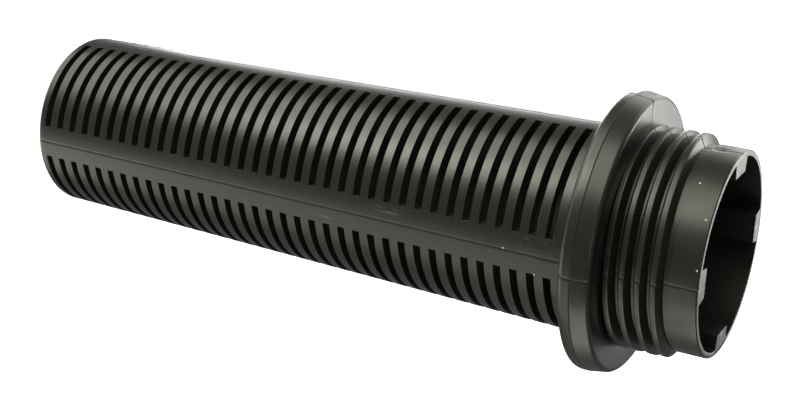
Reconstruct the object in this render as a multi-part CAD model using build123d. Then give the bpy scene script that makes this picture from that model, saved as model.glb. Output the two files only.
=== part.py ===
# Threaded lateral of a sand filter: one black injection moulding.
# The axis is +Z. The closed tip stands on z = 0 and the threaded mouth is on top.
# Lengths are millimetres and angles are degrees.

import os
from math import ceil, cos, radians, sin

from build123d import *

# Tube: a slim cone with the mould's draft, closed at the tip
tube_length = 98.0  # from the tip to the flange
tip_diameter = 28.8  # outside, at the tip
root_diameter = 32.3  # outside, at the flange
tip_thickness = 1.2  # the disc that closes the tip
tip_edge = 0.7  # size of the eased edge round the tip
tip_bevel = 0.2  # the first and flatter of its two bevels

# Walls: the core that leaves the bore is drawn out through the mouth
tip_wall = 1.6  # at the tip
root_wall = 3.3  # where the tube meets the flange
nose_wall = 0.9  # round the mouth

# Ribs and panels: plain ribs through the whole wall, with a slotted panel between each two
rib_count = 4
rib_angle = 21.0  # one rib, as seen from the axis
rib_tip_height = 1.2  # how far a rib stands into the bore, at the tip
rib_mouth_height = 1.95  # the same at the mouth
panel_flat_count = 6  # flats that round off one panel outside
bore_flat_count = 3  # flats that round off one panel inside

# Slots: one column of slots in each panel
slot_count = 36
slot_width = 1.2
tip_slot_gap = 0.3  # from the tip's inner face to the first slot
root_slot_gap = 2.9  # from the last slot to the flange

# Flange
flange_diameter = 42.4
flange_thickness = 4.7
rim_back_edge = 0.9  # eased edge on the tube side
rim_parting_height = 2.0  # from the tube side to the rim's parting line
rim_draft = 0.35  # how far the rim falls in from its parting line to the face
rim_front_edge = 0.35  # eased edge on the face

# Thread and nose: 1 inch parallel pipe thread, right-handed, then a plain end a little thicker than its root
thread_diameter = 33.25  # over the crests
thread_pitch = 25.4 / 11
thread_length = 9.3  # from the flange's face to the end of the last turn
thread_end_angle = -10  # where the last turn ends, from +X towards +Y
nose_length = 4.3  # the plain end beyond the thread
nose_diameter = 30.7

# Worked out from the sizes above
flange_face = tube_length + flange_thickness
thread_top = flange_face + thread_length
total_length = thread_top + nose_length
thread_depth = 0.64 * thread_pitch
crest_width = 0.2 * thread_pitch
ridge_width = 0.86 * thread_pitch  # at the root
thread_root_radius = thread_diameter / 2 - thread_depth
nose_radius = nose_diameter / 2
mouth_radius = nose_radius - nose_wall
panel_angle = 360 / rib_count - rib_angle
first_slot = tip_thickness + tip_slot_gap + slot_width / 2
last_slot = tube_length - root_slot_gap - slot_width / 2
past = tip_thickness  # how far a cutter or a joined end runs past the face it meets


def on_circle(radius, angle, height):
    """A point at a radius and an angle from +X."""
    return Vector(radius * cos(radians(angle)), radius * sin(radians(angle)), height)


def closed_solid(rings):
    """A solid of flat faces through rings of points, each ring at its own height."""
    faces = [Face(Wire.make_polygon(rings[0])), Face(Wire.make_polygon(rings[-1]))]
    count = len(rings[0])
    for low, high in zip(rings, rings[1:]):
        for i in range(count):
            j = (i + 1) % count
            corners = [low[i], low[j], high[j], high[i]]
            faces.append(Face(Wire.make_polygon(corners)))
    return Solid(Shell(faces))


def panel_ring(radius, height, flats, crown=False):
    """Points round the axis: a run of equal flats for each panel, and with crown a point on each rib."""
    points = []
    for rib in range(rib_count):
        middle = rib * 360 / rib_count
        if crown:
            points.append(on_circle(radius, middle, height))
        for step in range(flats + 1):
            angle = middle + rib_angle / 2 + step * panel_angle / flats
            points.append(on_circle(radius, angle, height))
    return points


def outer_tube():
    """The outside of the tube with its eased tip, run a little way into the flange."""
    tip = tip_diameter / 2
    draft = (root_diameter / 2 - tip) / tube_length
    levels = (
        (tip - tip_edge, 0),
        (tip - tip_bevel, tip_bevel),
        (tip + draft * tip_edge, tip_edge),
        (tip + draft * (tube_length + past), tube_length + past),
    )
    rings = [panel_ring(radius, z, panel_flat_count, crown=True) for radius, z in levels]
    return closed_solid(rings)


def flange_and_nose():
    """Flange, neck and nose as one turned profile."""
    rim = flange_diameter / 2
    front = rim - rim_draft
    profile = Polyline(
        (0, 0, tube_length),
        (rim - rim_back_edge, 0, tube_length),
        (rim, 0, tube_length + rim_back_edge),
        (rim, 0, tube_length + rim_parting_height),
        (front, 0, flange_face - rim_front_edge),
        (front - rim_front_edge, 0, flange_face),
        (thread_root_radius, 0, flange_face),
        (thread_root_radius, 0, thread_top),
        (nose_radius, 0, thread_top),
        (nose_radius, 0, total_length),
        (0, 0, total_length),
        close=True,
    )
    return revolve(make_face(profile), Axis.Z)


def thread_turns():
    """The thread: a helical ridge of trapezoid section, as equal lengths of a turn or less, end to end."""
    sink = nose_wall / 3
    flank = (ridge_width - crest_width) / 2 / thread_depth
    crest_half = crest_width / 2
    root_half = ridge_width / 2 + sink * flank
    section = (
        (thread_root_radius - sink, -root_half),
        (thread_diameter / 2, -crest_half),
        (thread_diameter / 2, crest_half),
        (thread_root_radius - sink, root_half),
    )
    start = flange_face - thread_pitch
    height = thread_top - root_half - start
    turn_count = ceil(height / thread_pitch)
    rise = height / turn_count
    start_angle = thread_end_angle - 360 * height / thread_pitch
    turns = []
    for turn in range(turn_count):
        low = start + turn * rise
        rails = [
            Helix(thread_pitch, rise, radius, center=(0, 0, low + offset))
            for radius, offset in section
        ]
        faces = [
            Face.make_surface_from_curves(rail, rails[(i + 1) % len(rails)])
            for i, rail in enumerate(rails)
        ]
        for end in (0, 1):
            faces.append(Face(Wire.make_polygon([rail @ end for rail in rails])))
        angle = start_angle + turn * 360 * rise / thread_pitch
        turns.append(Rot(0, 0, angle) * Solid(Shell(faces)))
    return turns


def ribs():
    """The ribs as wedges, from their inner faces to beyond the wall."""
    outside = flange_diameter
    top = total_length + past
    reaches = (
        (tip_diameter / 2 - tip_wall - rib_tip_height, 0),
        (mouth_radius - rib_mouth_height, top),
    )
    wedges = []
    for rib in range(rib_count):
        middle = rib * 360 / rib_count
        sides = (middle - rib_angle / 2, middle + rib_angle / 2)
        rings = []
        for reach, z in reaches:
            inner = [on_circle(reach, angle, z) for angle in sides]
            outer = [on_circle(outside, angle, z) for angle in reversed(sides)]
            rings.append(inner + outer)
        wedges.append(closed_solid(rings))
    return wedges


def bore():
    """What the core leaves empty: flats along the slotted panels, round above them, grooved for the ribs."""
    levels = (
        (tip_diameter / 2 - tip_wall, tip_thickness),
        (root_diameter / 2 - root_wall, tube_length),
    )
    slotted = closed_solid([panel_ring(radius, z, bore_flat_count) for radius, z in levels])
    upward = (Align.CENTER, Align.CENTER, Align.MIN)
    mouth = Cylinder(mouth_radius, total_length - tube_length + past, align=upward)
    return slotted + Pos(0, 0, tube_length) * mouth - ribs()


def slots():
    """One cutter for each slot, between the side faces of two ribs."""
    inside = mouth_radius / 2
    outside = flange_diameter
    pitch = (last_slot - first_slot) / (slot_count - 1)
    cutters = []
    for rib in range(rib_count):
        start = rib * 360 / rib_count + rib_angle / 2
        end = start + panel_angle
        for row in range(slot_count):
            middle = first_slot + row * pitch
            rings = []
            for z in (middle - slot_width / 2, middle + slot_width / 2):
                corners = ((inside, start), (outside, start), (outside, end), (inside, end))
                rings.append([on_circle(radius, angle, z) for radius, angle in corners])
            cutters.append(closed_solid(rings))
    return cutters


def lateral():
    """The whole moulding."""
    shell = outer_tube() + (flange_and_nose() + thread_turns()) - bore()
    return shell - slots()


if __name__ == "__main__":
    os.makedirs("parts", exist_ok=True)
    moulding = lateral()
    moulding.label = "lateral"
    export_step(moulding, "parts/lateral.step")
    print("volume", round(moulding.volume), "solids", len(moulding.solids()), moulding.is_valid)
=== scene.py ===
# %% [markdown]
# # A lateral of a sand filter
#
# The real part is one black injection moulding: a slim tapered tube with rows of slots, closed at
# its tip, then a flange, an external pipe thread and a short plain nose round the open mouth.
# The frame holds its solid. This lesson models the same form again as a finer mesh, with round
# walls, eased edges and parting lines, gives it its plastic, and lights it as in a studio.

from math import atan2, cos, degrees, hypot, pi, radians, sin

import bmesh
import bpy
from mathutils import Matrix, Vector


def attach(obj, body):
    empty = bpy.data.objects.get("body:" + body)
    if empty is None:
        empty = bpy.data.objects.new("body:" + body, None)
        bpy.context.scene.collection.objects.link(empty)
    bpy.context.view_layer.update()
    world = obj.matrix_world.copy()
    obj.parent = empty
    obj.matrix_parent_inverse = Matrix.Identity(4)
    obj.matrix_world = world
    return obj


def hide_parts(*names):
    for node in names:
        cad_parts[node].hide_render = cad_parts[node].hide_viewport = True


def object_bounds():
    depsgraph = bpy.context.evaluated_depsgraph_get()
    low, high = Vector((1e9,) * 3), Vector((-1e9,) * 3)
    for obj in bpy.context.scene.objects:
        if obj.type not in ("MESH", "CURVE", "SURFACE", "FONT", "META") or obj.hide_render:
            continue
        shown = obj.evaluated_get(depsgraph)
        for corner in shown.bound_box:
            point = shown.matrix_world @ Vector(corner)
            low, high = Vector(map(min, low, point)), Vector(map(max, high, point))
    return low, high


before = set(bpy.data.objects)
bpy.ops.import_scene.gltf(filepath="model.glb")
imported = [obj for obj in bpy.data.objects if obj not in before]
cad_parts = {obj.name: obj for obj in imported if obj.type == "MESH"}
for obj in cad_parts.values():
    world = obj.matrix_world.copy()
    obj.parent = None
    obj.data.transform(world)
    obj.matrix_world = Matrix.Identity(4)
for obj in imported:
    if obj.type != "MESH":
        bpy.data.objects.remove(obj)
cad_low, cad_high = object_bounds()
print("solid from", tuple(cad_low), "to", tuple(cad_high))

# %% [markdown]
# ## Sizes
#
# The bench works in millimetres, because the features are small: at the end the finished mesh is
# scaled down to metres. The overall sizes come from the frame's box, so the mesh can't drift away
# from the solid. The other sizes are those of the mould.

# %% Sizes of the moulding, in millimetres
mm = 0.001
total_length = cad_high.z / mm
flange_radius = cad_high.x / mm

tip_radius = 14.4
root_radius = 16.15
tube_length = 98.0
tip_thickness = 1.2
tip_edge = 0.7
tip_wall = 1.6
root_wall = 3.3

rib_angle = 21.0
rib_tip_reach = 11.6
rib_mouth_reach = 12.25

slot_count = 36
slot_width = 1.2
slot_pitch = 2.64
first_slot = 1.5

flange_face = 102.7
rim_parting = 100.0
rim_back_edge = 0.9
rim_draft = 0.35
rim_front_edge = 0.8

thread_radius = 16.625
thread_pitch = 25.4 / 11
thread_depth = 0.64 * thread_pitch
thread_top = 112.0
thread_end_angle = -10.0
nose_radius = 15.35
mouth_radius = 14.45

columns = 120
column_angle = 360 / columns
foot_height = 1.35
seam_height = 97.7
print("total length", round(total_length, 2), "flange radius", round(flange_radius, 2))

# %% [markdown]
# ## Helpers for the bench
#
# Operators act on what is selected, so two helpers do the selecting. One makes a piece the only
# selected object, and the other opens it in edit mode and selects the faces, edges or vertices
# that pass a test on their middle point.

# %% Selecting
def only(piece):
    """Leaves edit mode and selects one object alone."""
    if bpy.context.mode != "OBJECT":
        bpy.ops.object.mode_set(mode="OBJECT")
    bpy.ops.object.select_all(action="DESELECT")
    piece.select_set(True)
    bpy.context.view_layer.objects.active = piece
    return piece


def middle(item):
    """The middle point of a vertex, an edge or a face."""
    if isinstance(item, bmesh.types.BMVert):
        return item.co
    if isinstance(item, bmesh.types.BMEdge):
        return (item.verts[0].co + item.verts[1].co) / 2
    return item.calc_center_median()


def pick(piece, kind, test):
    """Opens a piece in edit mode and selects the items of one kind that pass a test."""
    if bpy.context.mode != "EDIT_MESH":
        only(piece)
        bpy.ops.object.mode_set(mode="EDIT")
    bpy.ops.mesh.select_mode(type=kind)
    bpy.ops.mesh.select_all(action="DESELECT")
    mesh = bmesh.from_edit_mesh(piece.data)
    items = {"VERT": mesh.verts, "EDGE": mesh.edges, "FACE": mesh.faces}[kind]
    count = 0
    for item in items:
        if test(item):
            item.select_set(True)
            count += 1
    mesh.select_flush_mode()
    bmesh.update_edit_mesh(piece.data)
    return count


def apply_place(piece):
    """Moves an object's place, turn and scale into its mesh."""
    only(piece)
    bpy.ops.object.transform_apply(location=True, rotation=True, scale=True)


def apply_modifiers(piece):
    """Applies every modifier in order."""
    only(piece)
    for modifier in list(piece.modifiers):
        bpy.ops.object.modifier_apply(modifier=modifier.name)


def merge_close(piece, distance=0.002):
    """Merges vertices that lie on each other."""
    pick(piece, "VERT", lambda vertex: True)
    bpy.ops.mesh.remove_doubles(threshold=distance)
    bpy.ops.object.mode_set(mode="OBJECT")


def open_edges(piece):
    """How many edges don't have exactly two faces."""
    mesh = bmesh.new()
    mesh.from_mesh(piece.data)
    count = sum(1 for edge in mesh.edges if len(edge.link_faces) != 2)
    mesh.free()
    return count


def radius_of(point):
    return hypot(point.x, point.y)


def angle_from_rib(point):
    """How many degrees a point lies from the middle of the nearest rib, seen from the axis."""
    angle = degrees(atan2(point.y, point.x)) % 90
    return min(angle, 90 - angle)


def in_rib(item):
    return angle_from_rib(middle(item)) < rib_angle / 2


# %% [markdown]
# ## The tube
#
# The slotted tube repeats one pitch 36 times, so one pitch is modelled and an Array modifier
# stacks it. The mould has 120 columns of 3 degrees, turned by half a column, which puts a column's
# edge on each side of every rib: a rib is seven columns wide.

# %% One pitch, stacked
bpy.ops.object.select_all(action="DESELECT")
bpy.ops.mesh.primitive_cylinder_add(
    vertices=columns,
    radius=tip_radius,
    depth=slot_width,
    end_fill_type="NOTHING",
    location=(0, 0, first_slot + slot_width / 2),
    rotation=(0, 0, radians(column_angle / 2)),
)
tube = bpy.context.object
tube.name = "lateral_moulding"
apply_place(tube)
slot_top = first_slot + slot_width
pick(tube, "EDGE", lambda edge: middle(edge).z > slot_top - 0.01)
bpy.ops.mesh.extrude_edges_move(TRANSFORM_OT_translate={"value": (0, 0, slot_pitch - slot_width)})
only(tube)
stack = tube.modifiers.new("stack", "ARRAY")
stack.count = slot_count
stack.use_relative_offset = False
stack.use_constant_offset = True
stack.constant_offset_displace = (0, 0, slot_pitch)
stack.use_merge_vertices = True
stack.merge_threshold = 0.001
apply_modifiers(tube)
stack_top = first_slot + slot_count * slot_pitch
pick(tube, "EDGE", lambda edge: middle(edge).z > stack_top - 0.01)
bpy.ops.mesh.extrude_edges_move(TRANSFORM_OT_translate={"value": (0, 0, seam_height - stack_top)})
pick(tube, "EDGE", lambda edge: middle(edge).z < first_slot + 0.01)
bpy.ops.mesh.extrude_edges_move(TRANSFORM_OT_translate={"value": (0, 0, foot_height - first_slot)})
only(tube)
print("stack:", len(tube.data.polygons), "faces, top", round(stack_top, 3))

# %% [markdown]
# Each slot is a gap in one panel, so the faces between the ribs are deleted in every slot's band.


# %% Open the slots
def in_slot(face):
    point = middle(face)
    row = (point.z - first_slot) / slot_pitch
    in_band = 0 <= row < slot_count and row % 1 < slot_width / slot_pitch
    return in_band and not in_rib(face)


print("faces deleted:", pick(tube, "FACE", in_slot))
bpy.ops.mesh.delete(type="FACE")
only(tube)

# %% [markdown]
# Solidify gives the skin its wall. A vertex group makes the wall grow from the tip to the flange,
# and Simple Deform then tapers the whole tube, as the draft of the mould does.


# %% Wall and taper
def taper(height):
    return 1 + (root_radius / tip_radius - 1) * height / tube_length


def wall(height):
    return tip_wall + (root_wall - tip_wall) * height / tube_length


group = tube.vertex_groups.new(name="wall")
for vertex in tube.data.vertices:
    height = vertex.co.z
    group.add([vertex.index], wall(height) / taper(height) / root_wall, "REPLACE")
solidify = tube.modifiers.new("wall", "SOLIDIFY")
solidify.thickness = root_wall
solidify.offset = -1
solidify.use_even_offset = True
solidify.vertex_group = "wall"
apply_modifiers(tube)
tube.vertex_groups.clear()
height_range = seam_height - foot_height
deform = tube.modifiers.new("draft", "SIMPLE_DEFORM")
deform.deform_method = "TAPER"
deform.deform_axis = "Z"
deform.factor = (root_radius / tip_radius - 1) * height_range / tube_length
apply_modifiers(tube)
top_radii = [radius_of(v.co) for v in tube.data.vertices if v.co.z > seam_height - 0.01]
foot_radii = [radius_of(v.co) for v in tube.data.vertices if v.co.z < foot_height + 0.01]
print("at the seam, radius", round(min(top_radii), 3), "to", round(max(top_radii), 3))
print("at the foot, radius", round(min(foot_radii), 3), "to", round(max(foot_radii), 3))


# %% [markdown]
# The wall's closing rings at both ends are deleted again: the tube goes on from there.


# %% Open both ends of the wall
def closes_an_end(face):
    height = middle(face).z
    return height > seam_height - 0.01 or height < foot_height + 0.01


pick(tube, "FACE", closes_an_end)
bpy.ops.mesh.delete(type="FACE")
only(tube)
print("open edges:", open_edges(tube))

# %% [markdown]
# ## Flange and nose
#
# A turned form can be spun, or drawn up ring by ring. Here one ring of edges is extruded along the
# profile: out over the flange's back, up its rim with the groove of the parting line, in along its
# face, up the nose, over the lip and back down inside. It keeps the tube's 120 columns, so the two
# parts join vertex to vertex.


# %% The profile
def arc(centre, radius, start, end, steps):
    """Points on an arc in the plane of radius and height, with angles from the radius axis."""
    points = []
    for i in range(steps + 1):
        angle = radians(start + (end - start) * i / steps)
        points.append((centre[0] + radius * cos(angle), centre[1] + radius * sin(angle)))
    return points


root = thread_radius - thread_depth
front = flange_radius - rim_draft
fillet = 0.3
groove = 0.09
lip = 0.3
seam_outer = max(top_radii)
seam_inner = min(top_radii)
profile = [
    *arc((seam_outer + fillet, tube_length - fillet), fillet, 180, 90, 3)[1:],
    *arc((flange_radius - rim_back_edge, tube_length + rim_back_edge), rim_back_edge, -90, 0, 5),
    (flange_radius, rim_parting - groove),
    (flange_radius - groove, rim_parting),
    (flange_radius - groove / 2, rim_parting + groove),
    *arc((front - rim_front_edge, flange_face - rim_front_edge), rim_front_edge, 0, 90, 4),
    (root + fillet + 1.4, flange_face),
    *arc((root + fillet, flange_face + fillet), fillet, 270, 180, 3),
    (root, thread_top - 0.1),
    (nose_radius, thread_top),
    (nose_radius, total_length - 2),
    *arc((nose_radius - lip, total_length - lip), lip, 0, 90, 3),
    (mouth_radius, total_length),
    (mouth_radius, total_length - 2),
    (mouth_radius, tube_length + 1.5),
    (seam_inner, seam_height),
]
print("profile points:", len(profile))

# %% Draw the ring along it
bpy.ops.object.select_all(action="DESELECT")
bpy.ops.mesh.primitive_circle_add(
    vertices=columns,
    radius=seam_outer,
    location=(0, 0, seam_height),
    rotation=(0, 0, radians(column_angle / 2)),
)
mouth = bpy.context.object
mouth.name = "mouth"
apply_place(mouth)
pick(mouth, "EDGE", lambda edge: True)
ring = (seam_outer, seam_height)
for radius, height in profile:
    rise = height - ring[1]
    bpy.ops.mesh.extrude_edges_move(TRANSFORM_OT_translate={"value": (0, 0, rise)})
    ratio = radius / ring[0]
    bpy.ops.transform.resize(value=(ratio, ratio, 1), center_override=(0, 0, height))
    ring = (radius, height)
pick(mouth, "EDGE", lambda edge: abs(middle(edge).z - seam_height) < 0.01)
bpy.ops.mesh.bridge_edge_loops()
bpy.ops.mesh.select_all(action="SELECT")
bpy.ops.mesh.normals_make_consistent(inside=False)
only(mouth)
print("mouth:", len(mouth.data.polygons), "faces, open edges", open_edges(mouth))

# %% [markdown]
# ## The thread
#
# The thread is one ridge with sloping flanks and a slightly rounded crest. Its section starts as a
# plane, whose outer edge is narrowed and whose two outer corners are bevelled. A Screw modifier
# winds it up. Its foot lies inside the flange, and its last rings sink into the root, which makes
# the run-out.

# %% The section
flank = 0.5
sink = 0.3
ridge_root = 0.86 * thread_pitch + 2 * sink * flank
ridge_crest = 0.34 * thread_pitch
inner = root - sink
start_height = flange_face - thread_pitch
rise = thread_top - ridge_root / 2 - start_height
turned = 360 * rise / thread_pitch
bpy.ops.object.select_all(action="DESELECT")
bpy.ops.mesh.primitive_plane_add(
    size=1,
    location=((inner + thread_radius) / 2, 0, start_height),
    rotation=(pi / 2, 0, 0),
)
thread = bpy.context.object
thread.name = "thread"
thread.scale = (thread_radius - inner, ridge_root, 1)
apply_place(thread)
pick(thread, "EDGE", lambda edge: middle(edge).x > thread_radius - 0.01)
narrow = ridge_crest / ridge_root
bpy.ops.transform.resize(value=(1, 1, narrow), center_override=(0, 0, start_height))
pick(thread, "VERT", lambda vertex: vertex.co.x > thread_radius - 0.01)
bpy.ops.mesh.bevel(offset=0.12, segments=3, affect="VERTICES")
pick(thread, "FACE", lambda face: True)
bpy.ops.mesh.delete(type="ONLY_FACE")
only(thread)
section_count = len(thread.data.vertices)
print("section points:", section_count, "turns:", round(turned / 360, 2))

# %% Wind it up
thread.rotation_euler.z = radians(thread_end_angle - turned)
apply_place(thread)
screw = thread.modifiers.new("helix", "SCREW")
screw.axis = "Z"
screw.angle = radians(turned)
screw.screw_offset = rise
screw.steps = round(turned / column_angle)
screw.render_steps = screw.steps
screw.use_merge_vertices = False
apply_modifiers(thread)
ring_count = len(thread.data.vertices) // section_count
print("rings:", ring_count)

# %% Sink the run-out and close both ends
runout_rings = 8
sunk_scale = root / thread_radius - 0.01
print("highest point", round(max(vertex.co.z for vertex in thread.data.vertices), 3))
for step in range(runout_rings):
    number = ring_count - 1 - step
    share = (1 - step / runout_rings) ** 1.5
    scale = 1 - (1 - sunk_scale) * share
    pick(thread, "VERT", lambda vertex: vertex.index // section_count == number)
    bpy.ops.transform.resize(value=(scale, scale, 1), center_override=(0, 0, 0))
pick(thread, "EDGE", lambda edge: len(edge.link_faces) == 1)
bpy.ops.mesh.fill_holes(sides=0)
bpy.ops.mesh.select_all(action="SELECT")
bpy.ops.mesh.normals_make_consistent(inside=False)
only(thread)
print("thread:", len(thread.data.polygons), "faces, open edges", open_edges(thread))

# %% Unite it with the nose
union = mouth.modifiers.new("thread", "BOOLEAN")
union.operation = "UNION"
union.solver = "EXACT"
union.object = thread
apply_modifiers(mouth)
bpy.data.objects.remove(thread)
print("threaded mouth:", len(mouth.data.polygons), "faces, open edges", open_edges(mouth))

# %% [markdown]
# ## One moulding
#
# The ring that closed the mouth part at the seam has done its work for the union and goes. Then
# the two parts are joined, and the vertices that meet at the seam are merged.

# %% Join tube and mouth
pick(mouth, "FACE", lambda face: abs(middle(face).z - seam_height) < 0.01)
bpy.ops.mesh.delete(type="FACE")
only(mouth)
only(tube)
mouth.select_set(True)
bpy.ops.object.join()
merge_close(tube)
print("joined:", len(tube.data.polygons), "faces, open edges", open_edges(tube))

# %% [markdown]
# Four ribs run through the whole wall and stand a little into the bore. They are the wall's own
# inner faces, extruded towards the axis until they lie on flat planes that follow the bore's draft.


# %% Raise the ribs in the bore
def on_rib_wall(face):
    point = middle(face)
    inward = face.normal.x * point.x + face.normal.y * point.y < -0.5 * radius_of(point)
    return inward and in_rib(face)


def rib_reach(height):
    """Distance from the axis to a rib's flat inner face."""
    corner = rib_tip_reach + (rib_mouth_reach - rib_tip_reach) * height / total_length
    return corner * cos(radians(rib_angle / 2))


print("faces raised:", pick(tube, "FACE", on_rib_wall))
bpy.ops.mesh.extrude_region_move()
mesh = bmesh.from_edit_mesh(tube.data)
for vertex in mesh.verts:
    if vertex.select:
        across = max(abs(vertex.co.x), abs(vertex.co.y))
        share = rib_reach(vertex.co.z) / across
        vertex.co.x *= share
        vertex.co.y *= share
bmesh.update_edit_mesh(tube.data)
only(tube)
print("open edges:", open_edges(tube))

# %% [markdown]
# ## The closed tip
#
# The outer ring of edges at the foot is drawn down round the tip's eased edge and inwards, then
# filled. The inner ring, which now follows the ribs, is filled with one face: the floor of the
# bore.


# %% Close the tip
def is_foot(edge, outside):
    open_edge = len(edge.link_faces) == 1
    return open_edge and (radius_of(middle(edge)) > tip_radius - 0.6) == outside


pick(tube, "EDGE", lambda edge: is_foot(edge, True))
ring = (max(foot_radii), foot_height)
tip_profile = [
    (tip_radius * taper(tip_edge), tip_edge),
    *arc((tip_radius * taper(tip_edge) - tip_edge, tip_edge), tip_edge, 0, -90, 4)[1:],
    (tip_radius - 2.5, 0),
]
for radius, height in tip_profile:
    bpy.ops.mesh.extrude_edges_move(TRANSFORM_OT_translate={"value": (0, 0, height - ring[1])})
    ratio = radius / ring[0]
    bpy.ops.transform.resize(value=(ratio, ratio, 1), center_override=(0, 0, height))
    ring = (radius, height)
bpy.ops.mesh.edge_face_add()
pick(tube, "EDGE", lambda edge: len(edge.link_faces) == 1)
drop = tip_thickness - foot_height
bpy.ops.mesh.extrude_edges_move(TRANSFORM_OT_translate={"value": (0, 0, drop)})
bpy.ops.mesh.edge_face_add()
bpy.ops.mesh.select_all(action="SELECT")
bpy.ops.mesh.normals_make_consistent(inside=False)
only(tube)
print("closed:", len(tube.data.polygons), "faces, open edges", open_edges(tube))

# %% [markdown]
# ## Parting lines
#
# The mould opens in four directions, so a fine line runs along the middle of each rib and on over
# the flange, the thread and the nose. Bisect cuts three edges beside each other through the mesh,
# and the middle one is pressed into the surface, which leaves a narrow groove.

# %% Cut the lines
line_half_width = 0.13
line_depth = 0.05
for across in (Vector((1, 0, 0)), Vector((0, 1, 0))):
    for offset in (-line_half_width, 0, line_half_width):
        pick(tube, "FACE", lambda face: True)
        bpy.ops.mesh.bisect(plane_co=offset * across, plane_no=across)
only(tube)
print("cut:", len(tube.data.polygons), "faces, open edges", open_edges(tube))


def on_line(vertex):
    """True on the middle edge of a parting line, on the outside of the moulding."""
    on_plane = min(abs(vertex.co.x), abs(vertex.co.y)) < 0.001
    skin = mouth_radius + 0.4 if vertex.co.z > seam_height + 0.1 else tip_radius - 0.4
    return on_plane and radius_of(vertex.co) > skin and vertex.co.z > tip_edge / 2


print("pressed in:", pick(tube, "VERT", on_line))
bpy.ops.transform.shrink_fatten(value=-line_depth)
only(tube)

# %% [markdown]
# A low pad stands on the lower half of the front rib, next to the flange: the print of an insert.

# %% Raise the pad
pad_height = 0.16
pad_foot = first_slot + (slot_count - 2) * slot_pitch + slot_width - 0.05


def on_pad(face):
    point = middle(face)
    angle = degrees(atan2(point.y, point.x))
    in_width = -89 < angle < -90 + rib_angle / 2
    on_skin = radius_of(point) > tip_radius and point.z < seam_height
    return in_width and on_skin and point.z > pad_foot and abs(face.normal.z) < 0.5


print("pad faces:", pick(tube, "FACE", on_pad))
bpy.ops.mesh.extrude_region_move()
grown = 1 + pad_height / root_radius
bpy.ops.transform.resize(value=(grown, grown, 1), center_override=(0, 0, 0))
only(tube)
print("open edges:", open_edges(tube))

# %% [markdown]
# Moulding leaves shallow sinks and marks. A dent gets a finer patch of faces, whose vertices are
# pressed in along a smooth bowl.


# %% Press the dents
def dent(angle, height, half_length, half_width, depth):
    """A bowl in the skin, at an angle from +X: half_length along the axis, half_width across."""
    turn = radians(angle)
    across = Vector((-sin(turn), cos(turn), 0))
    outward = Vector((cos(turn), sin(turn), 0))

    def from_middle(point, margin=0.0):
        along = (point.z - height) / (half_length + margin)
        return hypot(along, point.dot(across) / (half_width + margin))

    def on_skin(item):
        point = middle(item)
        skin = mouth_radius + 0.5 if point.z > seam_height else tip_radius
        return radius_of(point) > skin and point.dot(outward) > 0

    near = lambda face: on_skin(face) and from_middle(middle(face), 0.9) < 1
    pick(tube, "FACE", near)
    bpy.ops.mesh.subdivide(number_cuts=4)
    found = pick(tube, "VERT", lambda vertex: on_skin(vertex) and from_middle(vertex.co) < 1)
    mesh = bmesh.from_edit_mesh(tube.data)
    for vertex in mesh.verts:
        if vertex.select:
            bowl = (1 - from_middle(vertex.co) ** 2) ** 2
            vertex.co -= outward * depth * bowl
    bmesh.update_edit_mesh(tube.data)
    only(tube)
    print("dent at", angle, height, "moves", found, "vertices")


dent(180, 113.1, 1.9, 1.35, 0.2)
dent(-97.5, 91.0, 0.5, 0.3, 0.09)
dent(-97.8, 93.7, 0.7, 0.3, 0.1)

# %% [markdown]
# ## Eased edges
#
# No edge of a moulding is perfectly sharp. The edges of the slots, the ribs and the lip get a
# small bevel. They are marked with a bevel weight, because the thread has its own rounded crest.


# %% Ease the edges
def wants_easing(edge):
    if len(edge.link_faces) != 2 or edge.calc_face_angle(0) < radians(50):
        return False
    point = middle(edge)
    inside = radius_of(point) < mouth_radius + 0.01
    return inside or point.z < seam_height - 0.5


print("edges eased:", pick(tube, "EDGE", wants_easing))
bpy.ops.transform.edge_bevelweight(value=1)
only(tube)
ease = tube.modifiers.new("ease", "BEVEL")
ease.limit_method = "WEIGHT"
ease.width = 0.2
ease.segments = 3
ease.use_clamp_overlap = True
apply_modifiers(tube)
print("eased:", len(tube.data.polygons), "faces, open edges", open_edges(tube))

# %% Scale to metres and shade
only(tube)
tube.scale = (mm, mm, mm)
apply_place(tube)
bpy.ops.object.shade_smooth_by_angle(angle=radians(35))
weighted = tube.modifiers.new("flat faces first", "WEIGHTED_NORMAL")
weighted.keep_sharp = True
apply_modifiers(tube)
print("triangles:", sum(len(p.vertices) - 2 for p in tube.data.polygons))


# %% [markdown]
# ## The plastic
#
# Black polyolefin from a mould that isn't polished: dark, with a soft olive-grey sheen. One small
# class wraps a socket, so that a mask can be written as a sum.


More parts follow.
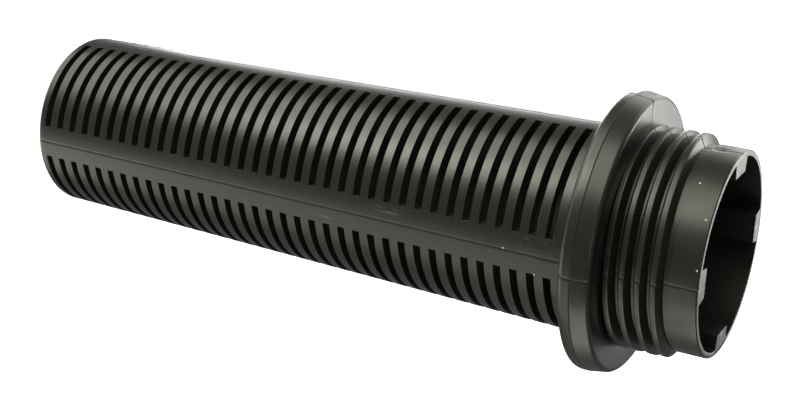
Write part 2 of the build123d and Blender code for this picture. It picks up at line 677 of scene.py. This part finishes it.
# %% Nodes as expressions
class Socket:
    """A node's output that can be added, multiplied and compared."""

    def __init__(self, tree, out):
        self.tree = tree
        self.out = out

    def node(self, kind, inputs=(), output=0, **settings):
        made = self.tree.nodes.new(kind)
        for name, value in settings.items():
            setattr(made, name, value)
        for name, value in dict(inputs).items():
            if isinstance(value, Socket):
                self.tree.links.new(value.out, made.inputs[name])
            else:
                made.inputs[name].default_value = value
        return Socket(self.tree, made.outputs[output])

    def maths(self, operation, first, second):
        """Vector maths on a position and three numbers, and plain maths on anything else."""
        kind = "ShaderNodeVectorMath" if isinstance(second, tuple) else "ShaderNodeMath"
        return self.node(kind, {0: first, 1: second}, operation=operation)

    def __add__(self, other):
        return self.maths("ADD", self, other)

    __radd__ = __add__

    def __sub__(self, other):
        return self.maths("SUBTRACT", self, other)

    def __rsub__(self, other):
        return self.maths("SUBTRACT", other, self)

    def __mul__(self, other):
        return self.maths("MULTIPLY", self, other)

    __rmul__ = __mul__

    def noise(self, scale, detail):
        """Soft noise with about this many features to the metre."""
        inputs = {"Vector": self, "Scale": float(scale), "Detail": float(detail)}
        return self.node("ShaderNodeTexNoise", inputs)

    def spot(self, centre, half_size):
        """1 in the middle of an ellipsoid, falling to 0 at its skin: both sizes in millimetres."""
        offset = self - tuple(value * mm for value in centre)
        share = offset * tuple(1 / (value * mm) for value in half_size)
        length = share.node("ShaderNodeVectorMath", {0: share}, output=1, operation="LENGTH")
        return (1 - length).larger(0.0)

    def larger(self, other):
        return self.maths("MAXIMUM", self, other)

    def contrast(self, low, high):
        """Stretches the range from low to high to the full range from 0 to 1."""
        inputs = {"Value": self, "From Min": low, "From Max": high}
        return self.node("ShaderNodeMapRange", inputs, clamp=True)

    def mix(self, share, low, high):
        """A colour between two others."""
        inputs = {0: share, 6: colour_of(low), 7: colour_of(high)}
        return self.node("ShaderNodeMix", inputs, output=2, data_type="RGBA")


def colour_of(value):
    return value if isinstance(value, Socket) else (*value, 1)


def new_material(name):
    material = bpy.data.materials.new(name)
    material.use_nodes = True
    tree = material.node_tree
    shader = tree.nodes["Principled BSDF"]
    place = Socket(tree, tree.nodes.new("ShaderNodeTexCoord").outputs["Object"])
    return material, tree, shader, place


# %% Black plastic
speck_places = (
    (-12.83, -8.42, 113.0),
    (-9.18, -12.30, 115.46),
    (-2.79, -15.09, 115.78),
    (-0.15, -15.96, 87.6),
    (2.88, -15.95, 92.65),
)
plastic, tree, shader, place = new_material("black_plastic")
cloud = place.noise(60, 4)
mottle = place.noise(900, 2)
grain = place.noise(4000, 2)
rings = (place * (80, 80, 3000)).noise(1, 3)
streaks = (place * (2500, 2500, 300)).noise(1, 3)
scuffs = place.spot((-1.83, -15.51, 68.5), (0.9, 0.9, 3.0))
scuffs = scuffs.larger(place.spot((1.63, -15.34, 57.7), (0.3, 0.6, 2.2)))
scuffs = scuffs * (streaks.contrast(0.45, 0.62))
specks = place.spot(speck_places[0], (0.2, 0.2, 0.2))
for centre in speck_places[1:]:
    specks = specks.larger(place.spot(centre, (0.2, 0.2, 0.2)))
specks = specks.contrast(0.2, 0.5)
clean = place.mix(cloud, (0.005, 0.005, 0.0045), (0.011, 0.011, 0.0095))
scuffed = place.mix(scuffs, clean, (0.11, 0.11, 0.1))
colour = place.mix(specks, scuffed, (0.55, 0.55, 0.5))
roughness = 0.25 + cloud * 0.1 + mottle * 0.06 + scuffs * 0.25
height = mottle * 0.6 + grain * 0.15 + rings * 0.25
bump = place.node("ShaderNodeBump", {"Height": height, "Strength": 0.5, "Distance": 0.00003})
tree.links.new(colour.out, shader.inputs["Base Color"])
tree.links.new(roughness.out, shader.inputs["Roughness"])
tree.links.new(bump.out, shader.inputs["Normal"])
shader.inputs["Specular IOR Level"].default_value = 0.6
shader.inputs["Specular Tint"].default_value = (1.0, 1.0, 0.82, 1)
tube.data.materials.clear()
tube.data.materials.append(plastic)
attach(tube, "root")
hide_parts("lateral")

# %% [markdown]
# ## Floor, light and camera
#
# The lateral stands on its closed tip on a plain pale floor. The camera has the photograph's
# place: it looks down on the standing part from the side of its front rib, and is rolled so that
# the part lies across the picture, with its mouth to the right.
#
# The photograph's background is white without a shadow, and its light comes from below as well.
# So only the camera sees this floor: it glows for the camera, and lets the softboxes' light through.

# %% Floor
bpy.ops.object.select_all(action="DESELECT")
bpy.ops.mesh.primitive_plane_add(size=60, location=(0, 0, 0))
floor = bpy.context.object
floor.name = "floor"
pale, tree, shader, place = new_material("pale_floor")
shader.inputs["Base Color"].default_value = (0.9, 0.9, 0.9, 1)
shader.inputs["Roughness"].default_value = 0.8
shader.inputs["Emission Color"].default_value = (1, 1, 1, 1)
shader.inputs["Emission Strength"].default_value = 1.0
floor.data.materials.append(pale)
floor.visible_diffuse = False
floor.visible_glossy = False
floor.visible_shadow = False

# %% Camera
camera_place = Vector((-79.77, -196.43, 166.03)) * mm
camera_turn = (radians(-23.962), radians(-61.425), radians(93.796))
bpy.ops.object.camera_add(location=camera_place, rotation=camera_turn)
camera = bpy.context.object
camera.data.lens = 66.57
camera.data.sensor_width = 36.0
camera.data.clip_start = 0.01
bpy.context.scene.camera = camera
bpy.context.view_layer.update()
print("camera looks along", tuple(round(x, 3) for x in -camera.matrix_world.col[2].xyz))


# %% Lights
def softbox(name, azimuth, elevation, size, power):
    """An area light that faces the part's middle, from an angle round it and a height angle."""
    aim = Vector((0, 0, total_length * mm / 2))
    level = cos(radians(elevation))
    away = Vector(
        (level * cos(radians(azimuth)), level * sin(radians(azimuth)), sin(radians(elevation)))
    )
    bpy.ops.object.light_add(type="AREA", location=aim + away * light_distance)
    light = bpy.context.object
    light.name = name
    light.data.size = size
    light.data.energy = power
    light.rotation_euler = away.to_track_quat("Z", "Y").to_euler()
    return light


light_distance = 0.6
softbox("key", 210, -26, 0.24, 1.7)
softbox("key_side", 180, -26, 0.24, 0.75)
softbox("rim", 96, -26, 0.28, 1.6)
softbox("top", 203, 12, 0.48, 2.2)
softbox("mouth", 338, 12, 0.48, 1.6)
softbox("back", 112, 12, 0.48, 1.6)
softbox("front", 310, -26, 0.45, 0.75)
softbox("under_right", 315, -60, 0.34, 0.85)
softbox("under_left", 180, -60, 0.48, 1.5)
softbox("face", 80, 35, 0.26, 1.3)
softbox("glint", 265, 43, 0.08, 0.12)
world = bpy.data.worlds.new("studio")
bpy.context.scene.world = world
world.use_nodes = True
world.node_tree.nodes["Background"].inputs["Color"].default_value = (1, 1, 1, 1)
world.node_tree.nodes["Background"].inputs["Strength"].default_value = 0.2
bpy.context.scene.view_settings.view_transform = "Standard"
